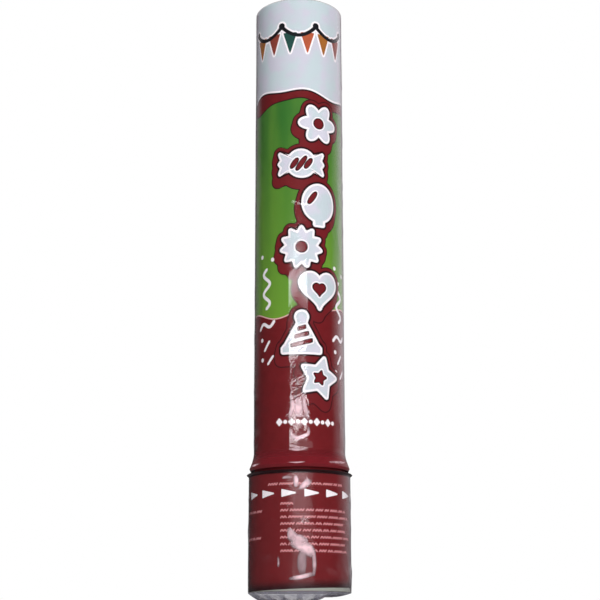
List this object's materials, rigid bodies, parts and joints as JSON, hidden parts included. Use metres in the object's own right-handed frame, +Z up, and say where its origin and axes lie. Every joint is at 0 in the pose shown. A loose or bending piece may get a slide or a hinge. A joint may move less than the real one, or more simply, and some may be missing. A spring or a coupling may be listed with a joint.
{
  "type": "confetti popper tube",
  "caption": "Hand-held confetti popper: printed paper barrel in shrink film, a wider base that is twisted to release an air bottle inside, a tissue charge and a card muzzle cap.",
  "frame": {"origin": "on the tube's axis, at the level that the popper stands on", "axes": "+Z up along the tube from the base to the muzzle; -Y towards the front that the picture shows, +X to the right in the picture"},
  "size_m": [0.0522, 0.0522, 0.3043],
  "materials": {
    "grey_board": "spiral-wound paper board",
    "white_card": "pressed white card",
    "barrel_print": "printed paper, crimson, green and pale grey",
    "base_print": "printed paper, crimson with white arrows",
    "clear_film": "clear shrink film",
    "white_moulding": "moulded",
    "red_moulding": "moulded",
    "bare_aluminium": "drawn, bare",
    "black_rubber": "moulded",
    "white_foam": "soft foam",
    "tissue_gold": "tissue slips",
    "tissue_green": "tissue slips",
    "tissue_red": "tissue slips",
    "tissue_white": "tissue slips"
  },
  "bodies": {
    "barrel": {"barrel_tube": "grey_board", "barrel_wrap": "barrel_print", "barrel_film": "clear_film", "barrel_bush": "white_moulding", "valve_housing": "white_moulding"},
    "base": {"base_sleeve": "grey_board", "base_wrap": "base_print", "base_film": "clear_film", "base_film_gather": "clear_film", "base_plug": "red_moulding", "bottle_boot": "white_moulding", "air_bottle": "bare_aluminium", "fill_bung": "black_rubber", "neck_collar": "bare_aluminium"},
    "release": {"release_cap": "red_moulding", "stopper_seal": "black_rubber"},
    "charge": {"pusher_wad": "white_moulding", "foam_pad": "white_foam", "confetti_tier_1_bundle_1": "tissue_gold", "confetti_tier_1_bundle_2": "tissue_green", "confetti_tier_1_bundle_3": "tissue_red", "confetti_tier_1_bundle_4": "tissue_white", "confetti_tier_2_bundle_1": "tissue_green", "confetti_tier_2_bundle_2": "tissue_red", "confetti_tier_2_bundle_3": "tissue_white", "confetti_tier_2_bundle_4": "tissue_gold", "confetti_tier_3_bundle_1": "tissue_red", "confetti_tier_3_bundle_2": "tissue_white", "confetti_tier_3_bundle_3": "tissue_gold", "confetti_tier_3_bundle_4": "tissue_green"},
    "muzzle": {"muzzle_cap": "white_card"}
  },
  "joints": [
    {"name": "base_twist", "type": "hinge", "parent": "barrel", "child": "base", "pos_m": [0, 0, 0], "axis": [0, 0, 1], "range_deg": [0, 90]},
    {"name": "release_lift", "type": "slide", "parent": "barrel", "child": "release", "axis": [0, 0, 1], "range_m": [0, 0.003]},
    {"name": "charge_drive", "type": "slide", "parent": "barrel", "child": "charge", "axis": [0, 0, 1], "range_m": [0, 0.184]},
    {"name": "muzzle_cap_lift", "type": "slide", "parent": "charge", "child": "muzzle", "axis": [0, 0, 1], "range_m": [0, 0.0075]}
  ],
  "couplings": [
    {"joint": "base_twist", "follows": "release_lift", "rad_per_m": 523.6}
  ]
}
